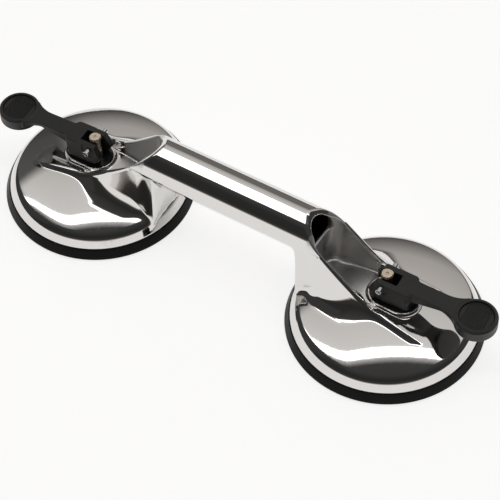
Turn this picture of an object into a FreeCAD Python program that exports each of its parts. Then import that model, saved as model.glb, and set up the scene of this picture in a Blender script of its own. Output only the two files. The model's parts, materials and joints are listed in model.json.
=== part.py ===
import FreeCAD, Part
import math
import os

# Two-cup suction lifter: one cast aluminium housing with a hollow bar handle between two domed
# heads. Under each head is a rubber disc with a bonded steel plate and a stem, and a lever with
# a cam foot pulls the stem up. Millimetres. +X runs along the handle, +Z points up, and the
# origin is midway between the heads on the surface that the discs stand on.

V = FreeCAD.Vector
UP = V(0, 0, 1)

# ---- driving dimensions -------------------------------------------------------------------
HEAD_X = 102.5                 # each head's axis from the middle of the handle

DISC_R = 60.0                  # rubber disc, widest at its foot
DISC_TOP_R = 57.2
DISC_RIM_Z = 7.1               # its rim's top, where the casting stands on it
DISC_FACE_R = 46.0             # inside this radius the suction face is drawn up
DISC_RECESS = 3.2              # height of the drawn-up centre
DISC_CENTRE_Z = 9.4            # top of the centre, bonded to the steel plate
DISC_CENTRE_R = 31.0
DISC_EDGE = 0.8                # chamfer round the foot
FACE_RAMP = 10.0               # widths of the sloping rings round the centre, below and above
BACK_RAMP = 8.0

RIM_R = 56.9                   # casting's lower edge
FLANK_R, FLANK_Z = 54.5, 12.1  # top of the conical flank
DOME_ARC = 118.7               # the dome's radius, up to the rounded shoulder
CROWN_Z = 27.5
WALL = 4.0
CAVITY_STEP = 0.8              # the cavity's foot stands this far above the disc's rim
CAVITY_IN = 2.5                # its top starts this far inside the dome's outer edge
OVERLAP = 1.0                  # joined solids run this far into each other

BAR_R = 15.0                   # handle: round shoulders, two flats and a small round crest
BAR_Z = 53.5                   # centre of the shoulders' arc
CREST_R = 4.4
CREST_Z = 65.15                # centre of the crest's arc
BAR_BELOW_Z = 47.0             # underside
BAR_FLAT_Y = 11.5              # half width of the underside
BAR_CORNER = 2.6               # height of the bevel beside it
BAR_INTO_HEAD = 8.0            # how far the bar runs into each web
BORE_R = 10.5                  # the bar is hollow
BORE_Z = 55.5
BORE_FLOOR_Z = 50.0
BORE_CORNER = 1.5
BORE_PAST = 14.0               # how far the bore runs on into each pocket

WEB_TOP_Y = 15.4               # half widths of the web that carries the bar down to the dome
WEB_LOW_Y = 17.6
WEB_LOW_Z = 12.0
SKIRT_LOW_Z = 21.0             # the web's foot spreads like a canoe's hull on the dome
SKIRT_TOP_Z = 31.0
SKIRT_HALF_Y = [(40.0, 17.5), (60.0, 18.4), (76.0, 21.2), (92.0, 23.2), (107.0, 23.4), (120.0, 21.9),
                (131.0, 18.9), (137.0, 15.0)]
SKIRT_TOP_Y = 16.0
CUT_START_X = 50.2             # where the web's sloping lip leaves the bar's top
CUT_MID = [(66.0, 54.9), (82.0, 41.4), (98.0, 31.1), (107.5, 28.9), (119.0, 26.8)]
CUT_END = (135.5, 21.2)        # and where it meets the dome
CUT_OVER = 0.2                 # it starts this far over the crest
CUT_BEYOND = (30.0, -8.0)      # the cut runs on past the rim
CLEAR = 40.0                   # more than half the width of anything that is cut
WEB_PAST = 4.0                 # the web's block, before it is cut to the head's outline
POCKET_X = 57.5                # inner end of the open pocket
POCKET_LOW_Y = 11.5
POCKET_TOP_Y = 13.4
POCKET_Z = 23.0
POCKET_CORNER = 0.7            # its corners' radius as a share of its half width
POCKET_PAST = 10.0
POCKET_LEAD = 1.5              # its end wall leans back by this much

BOSS_Y = 11.0                  # obround boss under the lever's foot
BOSS_LEN = 10.5                # distance between its end centres
BOSS_Z = 29.5
BOSS_INTO = 6.0                # depth of its foot below the wear plate
PLATE_Y = 9.7                  # black wear plate inside it
PLATE_LOW_Z = 26.5
PLATE_TOP_Z = 29.8
PLATE_PLAY = 0.1

BUSH_R = 6.6
BUSH_LOW_Z = 15.5
GUIDE_R = 9.5
STEM_R = 3.7
STEM_TOP_Z = 47.0
STEM_CHAMFER = 0.6
BUSH_PLAY = 0.06

STEEL_R = 29.0                 # plate bonded to the rubber
STEEL_TOP_Z = 12.4
SEAT_R = 13.0                  # washer over the spring
SEAT_T = 0.8
SPRING_R = 11.2                # mean radius
SPRING_WIRE = 2.0
SPRING_TURNS = 3.0
SPRING_STEPS = 24              # straight runs per turn

PIN_R = 2.0
PIN_Z = 41.5
PIN_LEN = 23.0
PIN_PLAY = 0.05
STROKE = 3.2                   # the stem's travel over the lever's swing
SWING = math.radians(90.0)
FOOT_GAP = 0.2                 # play between foot and wear plate

LEVER_Y = 8.2                  # half width of the fork
FRONT_OUT = -3.9               # its front face, and the chamfer above it
FRONT_Z = 3.2
TOP_START = (-3.2, 3.75)       # the top runs straight from here, (out, height over the pin)
TOP_END = (51.0, 1.25)         # to here, inside the thumb pad
TOE_OUT = 17.8                 # outer end of the foot
TOE_RISE = 0.9
TOE_BEVEL = 0.8
HEEL_TOP = (19.0, -4.6)        # hollow between the foot and the arm
HEEL_MID = (15.6, -7.2)
UNDER = [(24.0, -3.4), (33.0, -1.6), (38.0, -1.0), (44.5, -2.6), (51.0, -5.2)]   # arm's underside
SLOT_Y = 4.0                   # half width of its slot
SLOT_END = 8.0
ARM_Y = 5.5
ARM_START = 15.5
ARM_NECK = 2.2                 # length of the taper behind the fork
FLARE = [(36.0, 5.5), (42.5, 6.6), (48.0, 9.6)]   # the arm's half width into the pad
PAD_OUT = 57.0                 # thumb pad's centre from the stem
PAD_R = 12.7
PAD_TOP = 1.3                  # above the pin
PAD_T = 8.0
INSERT_R = 10.0
INSERT_T = 1.4
INSERT_SUNK = 0.5
RIB_COUNT = 11
RIB_PITCH = 1.35
RIB_W = 0.75
RIB_DEPTH = 0.5
RIB_HALF_LEN = 9.3
PAD_EDGE = 0.9
SPOT_R = 5.0
SPOT_DEPTH = 0.5
YAW = {"left": 1.05, "right": 2.1}   # each fork turns a little on its free stem, degrees


# ---- helpers ------------------------------------------------------------------------------
def line(a, b):
    return Part.makeLine(a, b)


def revolve(edges, hx):
    """A full turn of an r-z profile about the vertical axis through a head."""
    face = Part.Face(Part.Wire(edges))
    solid = face.revolve(V(0, 0, 0), UP, 360)
    solid.translate(V(hx, 0, 0))
    return solid


def tube(r_out, r_in, z0, z1, hx):
    ring = Part.makeCylinder(r_out, z1 - z0, V(hx, 0, z0))
    if r_in > 0:
        ring = ring.cut(Part.makeCylinder(r_in, z1 - z0 + 2, V(hx, 0, z0 - 1)))
    return ring


def obround(half_y, length, z0, z1):
    """An upright obround from the stem's axis outwards, in a head's own frame."""
    ends = [Part.makeCylinder(half_y, z1 - z0, V(u, 0, z0)) for u in (0, length)]
    middle = Part.makeBox(length, 2 * half_y, z1 - z0, V(0, -half_y, z0))
    return ends[0].fuse(ends[1]).fuse(middle).removeSplitter()


def dome_z(r, drop=0.0):
    """Height of the dome's arc, or of the parallel arc inside it, at radius r."""
    return DOME_CENTRE_Z + math.sqrt((DOME_ARC - drop) ** 2 - r ** 2)


def place(shape, side):
    """Puts a shape made in a head's own frame (+X outwards) on that head."""
    shape = shape.copy()
    if side == "left":
        shape.rotate(V(0, 0, 0), UP, 180)
        shape.translate(V(-HEAD_X, 0, 0))
    else:
        shape.translate(V(HEAD_X, 0, 0))
    return shape


def save(shape, name):
    if not shape.isValid() or len(shape.Solids) != 1:
        print("CHECK", name, "valid", shape.isValid(), "solids", len(shape.Solids))
    print("%-24s volume %9.1f mm3" % (name, shape.Volume))
    shape.exportStep("parts/%s.step" % name)


def smooth(shape, radius, keep):
    """Rounds the edges that the test picks, and leaves the shape as it was if that fails."""
    edges = [e for e in shape.Edges if keep(e)]
    try:
        rounded = shape.makeFillet(radius, edges)
        if rounded.isValid() and rounded.Volume > 0:
            return rounded
    except Exception:
        pass
    print("CHECK fillet left out", radius, len(edges))
    return shape


DOME_CENTRE_Z = CROWN_Z - DOME_ARC
BAR_TOP = CREST_Z + CREST_R

# the shoulder is the arc that is tangent to the flank at its top and to the dome
FLANK = V(FLANK_R, 0, FLANK_Z)
FLANK_OUT = V(FLANK_Z - DISC_RIM_Z, 0, RIM_R - FLANK_R).normalize()
FLANK_RISE = FLANK - V(0, 0, DOME_CENTRE_Z)
SHOULDER = (DOME_ARC ** 2 - FLANK_RISE.dot(FLANK_RISE)) / (2 * (DOME_ARC - FLANK_RISE.dot(FLANK_OUT)))
SHOULDER_MID = FLANK - FLANK_OUT * SHOULDER
DOME_R = SHOULDER_MID.x * DOME_ARC / (DOME_ARC - SHOULDER)


# ---- casting ------------------------------------------------------------------------------
def dome_arc(r_end, drop=0.0):
    mid = r_end / 2
    return Part.Arc(V(r_end, 0, dome_z(r_end, drop)), V(mid, 0, dome_z(mid, drop)),
                    V(0, 0, dome_z(0, drop))).toShape()


def head_outer(hx):
    base = V(0, 0, DISC_RIM_Z)
    rim = V(RIM_R, 0, DISC_RIM_Z)
    foot = V(DOME_R, 0, dome_z(DOME_R))
    out = (FLANK + foot) * 0.5 - SHOULDER_MID
    shoulder = Part.Arc(FLANK, SHOULDER_MID + out.normalize() * SHOULDER, foot).toShape()
    edges = [line(base, rim), line(rim, FLANK), shoulder, dome_arc(DOME_R),
             line(V(0, 0, CROWN_Z), base)]
    return revolve(edges, hx)


def head_cavity(hx):
    below = DISC_RIM_Z - 1
    r_in = DOME_R - CAVITY_IN
    foot = DISC_RIM_Z + CAVITY_STEP
    edges = [line(V(0, 0, below), V(RIM_R - WALL, 0, below)),
             line(V(RIM_R - WALL, 0, below), V(RIM_R - WALL, 0, foot)),
             line(V(RIM_R - WALL, 0, foot), V(r_in, 0, dome_z(r_in, WALL))),
             dome_arc(r_in, WALL),
             line(V(0, 0, CROWN_Z - WALL), V(0, 0, below))]
    return revolve(edges, hx)


def section_face(points, x):
    """A section in the Y-Z plane: straight sides up to the shoulders, two flats, a round crest."""
    tilt = math.acos((BAR_R - CREST_R) / (CREST_Z - BAR_Z))

    def on_arc(radius, centre_z, angle):
        return V(x, radius * math.sin(angle), centre_z + radius * math.cos(angle))

    def other(p):
        return V(p.x, -p.y, p.z)
    corners = [V(x, y, z) for y, z in points]
    side_mid = on_arc(BAR_R, BAR_Z, (tilt + math.pi / 2) / 2)
    flat_low = on_arc(BAR_R, BAR_Z, tilt)
    flat_top = on_arc(CREST_R, CREST_Z, tilt)
    edges = [line(other(corners[0]), corners[0])]
    edges += [line(a, b) for a, b in zip(corners, corners[1:])]
    edges += [Part.Arc(corners[-1], side_mid, flat_low).toShape(), line(flat_low, flat_top),
              Part.Arc(flat_top, V(x, 0, BAR_TOP), other(flat_top)).toShape(),
              line(other(flat_top), other(flat_low)),
              Part.Arc(other(flat_low), other(side_mid), other(corners[-1])).toShape()]
    edges += [line(other(a), other(b)) for a, b in zip(corners[::-1], corners[-2::-1])]
    return Part.Face(Part.Wire(edges))


def bar():
    half = HEAD_X - RIM_R + BAR_INTO_HEAD
    points = [(BAR_FLAT_Y, BAR_BELOW_Z), (BAR_R, BAR_BELOW_Z + BAR_CORNER), (BAR_R, BAR_Z)]
    return section_face(points, -half).extrude(V(2 * half, 0, 0))


def bar_bore():
    half = POCKET_X + BORE_PAST
    points = [(BORE_R - BORE_CORNER, BORE_FLOOR_Z), (BORE_R, BORE_FLOOR_Z + BORE_CORNER),
              (BORE_R, BORE_Z)]
    corners = [V(-half, y, z) for y, z in points]
    mirror = [V(-half, -y, z) for y, z in points]
    edges = [line(mirror[0], corners[0]), line(corners[0], corners[1]), line(corners[1], corners[2]),
             Part.Arc(corners[2], V(-half, 0, BORE_Z + BORE_R), mirror[2]).toShape(),
             line(mirror[2], mirror[1]), line(mirror[1], mirror[0])]
    return Part.Face(Part.Wire(edges)).extrude(V(2 * half, 0, 0))


def lip_cut():
    """Everything above the sloping lip, in the frame of the right head's side."""
    points = [V(CUT_START_X, 0, BAR_TOP + CUT_OVER)]
    points += [V(x, 0, z) for x, z in CUT_MID + [CUT_END]]
    curve = Part.BSplineCurve()
    curve.interpolate(points)
    beyond = V(CUT_END[0] + CUT_BEYOND[0], 0, CUT_END[1] + CUT_BEYOND[1])
    sky = BAR_TOP + POCKET_PAST
    edges = [curve.toShape(), line(points[-1], beyond), line(beyond, V(beyond.x, 0, sky)),
             line(V(beyond.x, 0, sky), V(CUT_START_X, 0, sky)),
             line(V(CUT_START_X, 0, sky), points[0])]
    face = Part.Face(Part.Wire(edges))
    face.translate(V(0, -CLEAR, 0))
    return face.extrude(V(0, 2 * CLEAR, 0))


def pocket():
    """The open pocket between the web's walls, wider at the top, with a round inner end."""
    def plan(half_y, z, lead):
        x0 = POCKET_X + lead
        r = half_y * POCKET_CORNER
        far = CUT_END[0] + POCKET_PAST
        straight = V(x0 + r, half_y, z)
        c45 = math.sqrt(0.5)
        edges = [line(V(far, -half_y, z), V(x0 + r, -half_y, z)),
                 Part.Arc(V(x0 + r, -half_y, z), V(x0 + r - r * c45, -half_y + r - r * c45, z),
                          V(x0, -half_y + r, z)).toShape(),
                 line(V(x0, -half_y + r, z), V(x0, half_y - r, z)),
                 Part.Arc(V(x0, half_y - r, z), V(x0 + r - r * c45, half_y - r + r * c45, z),
                          straight).toShape(),
                 line(straight, V(far, half_y, z)),
                 line(V(far, half_y, z), V(far, -half_y, z))]
        return Part.Wire(edges)
    top_z = BAR_TOP + POCKET_PAST
    slope = (POCKET_TOP_Y - POCKET_LOW_Y) / (BAR_Z - POCKET_Z)
    top_y = POCKET_LOW_Y + slope * (top_z - POCKET_Z)
    low, top = plan(POCKET_LOW_Y, POCKET_Z, 0.0), plan(top_y, top_z, POCKET_LEAD)
    return Part.makeLoft([low, top], True, True)


def skirt():
    """The spread foot of the web, from its wide plan on the dome up to the web's own width."""
    def plan(halves, z):
        side = Part.BSplineCurve()
        side.interpolate([V(x, y, z) for x, y in halves])
        other = Part.BSplineCurve()
        other.interpolate([V(x, -y, z) for x, y in halves[::-1]])
        near, far = halves[0], halves[-1]
        return Part.Wire([side.toShape(), line(V(far[0], far[1], z), V(far[0], -far[1], z)),
                          other.toShape(), line(V(near[0], -near[1], z), V(near[0], near[1], z))])
    low = plan(SKIRT_HALF_Y, SKIRT_LOW_Z)
    top = plan([(x, SKIRT_TOP_Y) for x, y in SKIRT_HALF_Y], SKIRT_TOP_Z)
    return Part.makeLoft([low, top], True, False)


def web():
    x0 = HEAD_X - RIM_R - WEB_PAST
    x1 = CUT_END[0] + WEB_PAST
    points = [(WEB_LOW_Y, WEB_LOW_Z), (WEB_TOP_Y, BAR_Z - OVERLAP), (BAR_R, BAR_Z)]
    body = section_face(points, x0).extrude(V(x1 - x0, 0, 0))
    body = body.fuse(skirt())
    body = body.common(Part.makeCylinder(RIM_R, 2 * CLEAR, V(HEAD_X, 0, 0)))
    return body.cut(lip_cut()).cut(pocket())


def mirrored(shape):
    """The same shape on the left head."""
    return shape.mirror(V(0, 0, 0), V(1, 0, 0))


def boss(z0, z1, half_y):
    return place(obround(half_y, BOSS_LEN, z0, z1), "right")


def casting():
    right = head_outer(HEAD_X)
    walls = web()
    raised = boss(PLATE_LOW_Z - BOSS_INTO, BOSS_Z, BOSS_Y)
    body = right.fuse(walls).fuse(raised)
    body = body.fuse(mirrored(body)).fuse(bar())
    body = body.cut(bar_bore())
    hollow = head_cavity(HEAD_X)
    body = body.cut(hollow).cut(mirrored(hollow))
    guide = tube(GUIDE_R, 0, BUSH_LOW_Z, CROWN_Z - OVERLAP, HEAD_X)
    body = body.fuse(guide).fuse(mirrored(guide))
    hole = tube(BUSH_R, 0, BUSH_LOW_Z - OVERLAP, BOSS_Z + OVERLAP, HEAD_X)
    seat = boss(PLATE_LOW_Z, BOSS_Z + BOSS_INTO, PLATE_Y + PLATE_PLAY)
    for part in (hole, seat):
        body = body.cut(part).cut(mirrored(part))
    return body.removeSplitter()


# ---- under the dome -----------------------------------------------------------------------
def suction_disc():
    points = [(0, DISC_RECESS), (DISC_FACE_R - FACE_RAMP, DISC_RECESS), (DISC_FACE_R, 0),
              (DISC_R - DISC_EDGE, 0), (DISC_R, DISC_EDGE), (DISC_TOP_R, DISC_RIM_Z),
              (DISC_CENTRE_R + BACK_RAMP, DISC_RIM_Z), (DISC_CENTRE_R, DISC_CENTRE_Z),
              (0, DISC_CENTRE_Z)]
    corners = [V(r, 0, z) for r, z in points]
    edges = [line(a, b) for a, b in zip(corners, corners[1:] + corners[:1])]
    return revolve(edges, 0)


def backing_plate():
    body = tube(STEEL_R, 0, DISC_CENTRE_Z, STEEL_TOP_Z, 0)
    body = smooth(body, 0.8, lambda e: e.BoundBox.ZMin > STEEL_TOP_Z - 0.1)
    return body.cut(tube(STEM_R, 0, DISC_CENTRE_Z - 1, STEEL_TOP_Z + 1, 0))


def stem():
    z0 = DISC_CENTRE_Z
    body = tube(STEM_R, 0, z0, STEM_TOP_Z - STEM_CHAMFER, 0)
    tip = Part.makeCone(STEM_R, STEM_R - STEM_CHAMFER, STEM_CHAMFER, V(0, 0, STEM_TOP_Z - STEM_CHAMFER))
    body = body.fuse(tip)
    return body.cut(pin_bar(PIN_R, 4 * STEM_R)).removeSplitter()


def pin_bar(radius, length):
    return Part.makeCylinder(radius, length, V(0, -length / 2, PIN_Z), V(0, 1, 0))


def cross_pin():
    return smooth(pin_bar(PIN_R, PIN_LEN), 0.4, lambda e: abs(e.BoundBox.YMin) > PIN_LEN / 2 - 0.1
                  and e.BoundBox.YLength < 0.01)


def guide_bush():
    return tube(BUSH_R, STEM_R + BUSH_PLAY, BUSH_LOW_Z, PLATE_LOW_Z, 0)


def spring_seat():
    z1 = CROWN_Z - WALL - (DOME_ARC - WALL) + math.sqrt((DOME_ARC - WALL) ** 2 - SEAT_R ** 2)
    return tube(SEAT_R, GUIDE_R + 0.2, z1 - SEAT_T, z1, 0)


def return_spring():
    """A helical spring between the steel plate and the washer."""
    seat_low = spring_seat().BoundBox.ZMin
    z0 = STEEL_TOP_Z + SPRING_WIRE / 2 + 0.05
    z1 = seat_low - SPRING_WIRE / 2 - 0.05
    count = int(SPRING_TURNS * SPRING_STEPS)
    points = []
    for i in range(count + 1):
        a = 2 * math.pi * i / SPRING_STEPS
        points.append(V(SPRING_R * math.cos(a), SPRING_R * math.sin(a), z0 + (z1 - z0) * i / count))
    ring = Part.Wire(Part.Circle(points[0], points[1] - points[0], SPRING_WIRE / 2).toShape())
    return Part.makePolygon(points).makePipeShell([ring], True, False, 1)


def wear_plate():
    body = obround(PLATE_Y, BOSS_LEN, PLATE_LOW_Z, PLATE_TOP_Z)
    return body.cut(tube(STEM_R + 0.4, 0, PLATE_LOW_Z - 1, PLATE_TOP_Z + 1, 0))


# ---- lever, in the head's own frame with heights measured from the pin ---------------------
def cam_edge():
    """The cam's curve: its distance to the wear plate falls evenly as the lever swings up."""
    s0 = PIN_Z - PLATE_TOP_Z - FOOT_GAP
    b = STROKE / SWING
    points = []
    steps = 6
    for i in range(steps + 1):
        a = math.radians(75.0) * i / steps
        s = s0 - b * a
        points.append(V(-s * math.sin(a) + b * math.cos(a), 0, -s * math.cos(a) - b * math.sin(a)))
    curve = Part.BSplineCurve()
    curve.interpolate(points)
    return curve.toShape(), points


def lever_side():
    """The lever's side outline, with the foot, the cam and the arm."""
    cam, points = cam_edge()
    foot = -(PIN_Z - PLATE_TOP_Z - FOOT_GAP)

    def at(p):
        return V(p[0], 0, p[1])
    front_top = V(FRONT_OUT, 0, FRONT_Z)
    under = Part.BSplineCurve()
    under.interpolate([at(p) for p in UNDER[::-1]] + [at(HEEL_TOP)])
    toe = V(TOE_OUT + TOE_BEVEL, 0, foot + TOE_RISE)
    toe_low = V(TOE_OUT, 0, foot)
    heel = Part.Arc(at(HEEL_TOP), at(HEEL_MID), toe).toShape()
    edges = [cam, line(points[-1], front_top), line(front_top, at(TOP_START)),
             line(at(TOP_START), at(TOP_END)), line(at(TOP_END), at(UNDER[-1])), under.toShape(), heel,
             line(toe, toe_low), line(toe_low, points[0])]
    face = Part.Face(Part.Wire(edges))
    width = 3 * LEVER_Y
    face.translate(V(0, -width / 2, 0))
    return face.extrude(V(0, width, 0))


def lever_plan():
    """The lever's outline from above: fork, narrower arm, flare into the pad."""
    low = -PIN_Z / 2
    start = 3 * FRONT_OUT
    flare = [V(out, half, low) for out, half in FLARE]
    side = [V(start, LEVER_Y, low), V(ARM_START, LEVER_Y, low), V(ARM_START + ARM_NECK, ARM_Y, low),
            flare[0]]
    far = V(PAD_OUT, flare[-1].y, low)

    def other(p):
        return V(p.x, -p.y, p.z)
    edges = [line(a, b) for a, b in zip(side, side[1:])]
    edges.append(Part.Arc(*flare).toShape())
    edges += [line(flare[-1], far), line(far, other(far)), line(other(far), other(flare[-1]))]
    edges.append(Part.Arc(*[other(p) for p in flare[::-1]]).toShape())
    edges += [line(other(a), other(b)) for a, b in zip(side[::-1], side[-2::-1])]
    edges.append(line(other(side[0]), side[0]))
    return Part.Face(Part.Wire(edges)).extrude(V(0, 0, PIN_Z))


def lever():
    body = lever_side().common(lever_plan())
    low = PAD_TOP - PAD_T
    pad = Part.makeCylinder(PAD_R, PAD_T, V(PAD_OUT, 0, low))
    pad = smooth(pad, PAD_EDGE, lambda e: e.BoundBox.ZLength < 0.01 and e.Closed)
    body = body.fuse(pad)
    recess = Part.makeCylinder(INSERT_R + 0.05, INSERT_T + INSERT_SUNK,
                               V(PAD_OUT, 0, PAD_TOP - INSERT_T - INSERT_SUNK))
    body = body.cut(recess)
    clear = PIN_Z / 2
    slot = Part.makeBox(SLOT_END + clear, 2 * SLOT_Y, 2 * clear, V(-clear, -SLOT_Y, -clear))
    body = body.cut(slot)
    body.translate(V(0, 0, PIN_Z))
    for sign in (-1, 1):
        spot = Part.makeCylinder(SPOT_R, SPOT_DEPTH + 1, V(0, sign * (LEVER_Y - SPOT_DEPTH), PIN_Z),
                                 V(0, sign, 0))
        body = body.cut(spot)
    return body.cut(pin_bar(PIN_R + PIN_PLAY, CLEAR)).removeSplitter()


def thumb_insert():
    z0 = PIN_Z + PAD_TOP - INSERT_T - INSERT_SUNK
    body = Part.makeCylinder(INSERT_R, INSERT_T, V(PAD_OUT, 0, z0))
    round_limit = Part.makeCylinder(RIB_HALF_LEN, 2 * INSERT_T, V(PAD_OUT, 0, z0))
    gap = RIB_PITCH - RIB_W
    for i in range(RIB_COUNT):
        u = PAD_OUT + (i - (RIB_COUNT - 1) / 2) * RIB_PITCH
        groove = Part.makeBox(gap, 2 * RIB_HALF_LEN, INSERT_T,
                              V(u - gap / 2, -RIB_HALF_LEN, z0 + INSERT_T - RIB_DEPTH))
        body = body.cut(groove.common(round_limit))
    return body


def turned(shape, side):
    """The fork, its pin and the stem turn together on the stem's axis."""
    shape = shape.copy()
    shape.rotate(V(0, 0, 0), UP, YAW[side])
    return shape


# ---- build --------------------------------------------------------------------------------
os.makedirs("parts", exist_ok=True)
save(casting(), "housing")
FIXED = {"suction_disc": suction_disc, "guide_bush": guide_bush, "spring_seat": spring_seat,
         "return_spring": return_spring, "wear_plate": wear_plate, "backing_plate": backing_plate}
TURNING = {"stem": stem, "cross_pin": cross_pin, "lever": lever, "thumb_insert": thumb_insert}
for side in ("left", "right"):
    for name, make in FIXED.items():
        save(place(make(), side), "%s_%s" % (side, name))
    for name, make in TURNING.items():
        save(place(turned(make(), side), side), "%s_%s" % (side, name))
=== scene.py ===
import json
import math

import bpy
import numpy as np
from mathutils import Matrix, Vector

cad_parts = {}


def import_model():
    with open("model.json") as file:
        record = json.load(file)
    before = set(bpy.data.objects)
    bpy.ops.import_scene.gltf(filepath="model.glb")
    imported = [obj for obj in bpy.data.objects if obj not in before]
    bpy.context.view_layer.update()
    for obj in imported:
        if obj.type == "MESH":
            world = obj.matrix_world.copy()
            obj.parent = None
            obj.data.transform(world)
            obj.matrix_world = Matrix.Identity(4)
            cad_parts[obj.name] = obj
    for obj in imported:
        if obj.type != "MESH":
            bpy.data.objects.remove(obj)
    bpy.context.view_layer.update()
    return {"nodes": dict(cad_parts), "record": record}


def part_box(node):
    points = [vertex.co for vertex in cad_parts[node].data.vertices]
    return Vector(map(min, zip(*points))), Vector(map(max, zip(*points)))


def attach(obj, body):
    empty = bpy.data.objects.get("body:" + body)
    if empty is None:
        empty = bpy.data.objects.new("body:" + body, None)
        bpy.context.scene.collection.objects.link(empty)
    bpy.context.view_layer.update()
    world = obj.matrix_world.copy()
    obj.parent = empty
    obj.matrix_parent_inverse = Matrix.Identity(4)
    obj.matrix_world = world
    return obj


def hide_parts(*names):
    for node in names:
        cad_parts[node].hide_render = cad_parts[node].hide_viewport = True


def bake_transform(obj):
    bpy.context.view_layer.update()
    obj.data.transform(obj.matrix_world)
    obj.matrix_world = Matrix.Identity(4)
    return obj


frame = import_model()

# Looks of the two-head suction lifter. The frame is in metres; the shape functions below work in
# millimetres, in the frame's own axes, and MM turns them into metres when a mesh is made.
MM = 0.001

# ---- sizes read from the frame ---------------------------------------------------------------


def box_mm(node):
    lo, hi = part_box(node)
    return np.array(lo) / MM, np.array(hi) / MM


DISC_HI = box_mm("right_suction_disc")[1]
BUSH_LO, BUSH_HI = box_mm("right_guide_bush")
PLATE_LO, PLATE_HI = box_mm("right_wear_plate")
STEM_LO, STEM_HI = box_mm("right_stem")
PIN_LO, PIN_HI = box_mm("right_cross_pin")
CAST_LO, CAST_HI = box_mm("housing")
HEAD_X = (BUSH_LO[0] + BUSH_HI[0]) / 2
BAR_TOP = CAST_HI[2]
RIM_Z = CAST_LO[2]
RIM_R = CAST_HI[0] - HEAD_X
BUSH_R = (BUSH_HI[0] - BUSH_LO[0]) / 2
PLATE_Y = PLATE_HI[1]
PIN_Z = (PIN_LO[2] + PIN_HI[2]) / 2
PIN_R = (PIN_HI[2] - PIN_LO[2]) / 2

# In the names below, an EDGE is the radius of an outer edge and a FILLET that of an inner corner.

# casting: the heads, each a shallow dome, a round shoulder and a straight flank down to the rim
CROWN_Z = 27.5
DOME_ARC = 118.7
DOME_CENTRE_Z = CROWN_Z - DOME_ARC
FLANK_TOP_R, FLANK_TOP_Z = 54.5, 12.1
WALL, FLANK_WALL = 4.0, 3.4
HOLLOW_FILLET = 2.0
RIM_EDGE, HOLLOW_EDGE = 0.7, 0.5
GUIDE_WALL = 2.9                 # round the bush
HOLE_IN, HOLE_BELOW = 1.5, 3.0   # the stem's hole: inside the bush's radius, and from below the bush

# casting: the bar, whose sides lean in below BAR_LEAN_Z
BAR_R = 15.0
BAR_Z = 53.5
CREST_R = 4.4
CREST_Z = BAR_TOP - CREST_R
BAR_BELOW_Z = 47.0
BAR_LEAN_Z = 52.3
BAR_LEAN = 0.463
BAR_EDGE = 1.6
BORE_R = 10.5
BORE_Z = 55.5
BORE_FLOOR_Z = 50.0
BORE_FLOOR_R = 2.0
BORE_END_X = 72.0
BORE_EDGE = 0.7

# casting: the webs, from the bar's ends down to the domes
WEB_START_X, WEB_FULL_X = 45.5, 50.5     # where the bar's sides turn into the webs'
DROP_START_X, DROP_END_X = 44.0, 52.0    # where the bar's underside goes down into the web
DROP = 39.0
ROUND_END_X = 66.0                       # past this x a web's section has no round top
WEB_SLOPE = 0.055
GAP_FILLET = 5.0
GAP_EDGE, LIP_EDGE, WEB_END_EDGE = 0.8, 1.1, 1.0
FACET_START_X, FACET_FULL_X = 54.0, 62.0
FACET_DEPTH = 2.5
LEAST_DROP = 1.0                         # from lip to crease, where the facet's slope is worked out
LIP_SLOPE = 0.85
LIP_END_SLOPE = 0.7
# The webs' sloping lip and the crease at their facet's foot, from the bar's end outwards. They were
# read off curves fitted to the photograph and rounded to 0.1 mm.
LIP_X = [51.0, 57.0, 72.0, 92.0, 113.0, 128.0, 134.0]
LIP_Y = [15.0, 15.0, 15.9, 15.7, 17.4, 18.7, 18.3]
LIP_Z = [68.7, 63.0, 49.7, 34.4, 27.8, 24.6, 21.8]
LIP_DEGREE = 6
CREASE_X = [55.0, 63.0, 82.0, 107.0, 126.0, 134.0]
CREASE_Y = [15.6, 17.0, 20.9, 19.8, 19.9, 18.5]
CREASE_Z = [18.5, 21.6, 25.3, 25.5, 23.6, 21.7]
CREASE_DEGREE = 5
WEB_END_X = 136.5
# the webs' fillet on the dome: narrow inside the lip and at the outer ends, wide beside the facet
FILLET, FILLET_WIDE = 1.2, 9.0
FILLET_INNER = 0.35                      # share of the wide fillet at the webs' inner ends
WIDE_START_X, WIDE_FULL_X = 55.0, 68.0
WIDE_LAST_X, WIDE_GONE_X = 86.0, 106.0
WIDE_IN_Y, WIDE_OUT_Y = -1.0, 2.0        # from the lip

# casting: the pockets between the webs' walls, and the bosses under the levers' feet
POCKET_X = 57.5
POCKET_Z = 23.0
POCKET_Y = 11.5
POCKET_DRAFT, POCKET_END_DRAFT = 0.0623, 0.03
POCKET_CORNER_R, POCKET_FLOOR_R = 8.0, 3.0
POCKET_EDGE = 0.6
FLARE_START_X, FLARE_FULL_X = 92.0, 106.0   # where the pocket opens out above the dome
POCKET_FLARE = 1.5
BOSS_Y = 11.0
BOSS_LEN = 10.5
BOSS_Z = 29.5
BOSS_LOW_Z = 25.0
BOSS_EDGE, BOSS_FILLET = 0.35, 1.6
SEAT_ROOM, SEAT_DEEPER, SEAT_EDGE = 0.08, 0.05, 0.3

# grids of the surfaces made from fields, fine and quick
CASTING_GRID, CASTING_GRID_QUICK, CASTING_MARGIN = 0.58, 1.0, 1.5
LEVER_GRID, LEVER_GRID_QUICK = 0.33, 0.5
LEVER_FIELD_BOX = (-9.5, -13.5, -12.4), (70.6, 13.5, 4.6)
INSERT_GRID = 0.17
INSERT_FIELD_BOX = (46.4, -10.6, -1.2), (67.6, 10.6, 1.2)
# how a grid's points are moved onto the surface; the longest move is a share of the grid
SETTLE_STEPS, LEAST_SLOPE, LONGEST_MOVE = 4, 0.05, 0.5
OUTSIDE = 99.0                   # a distance that is surely outside

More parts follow.
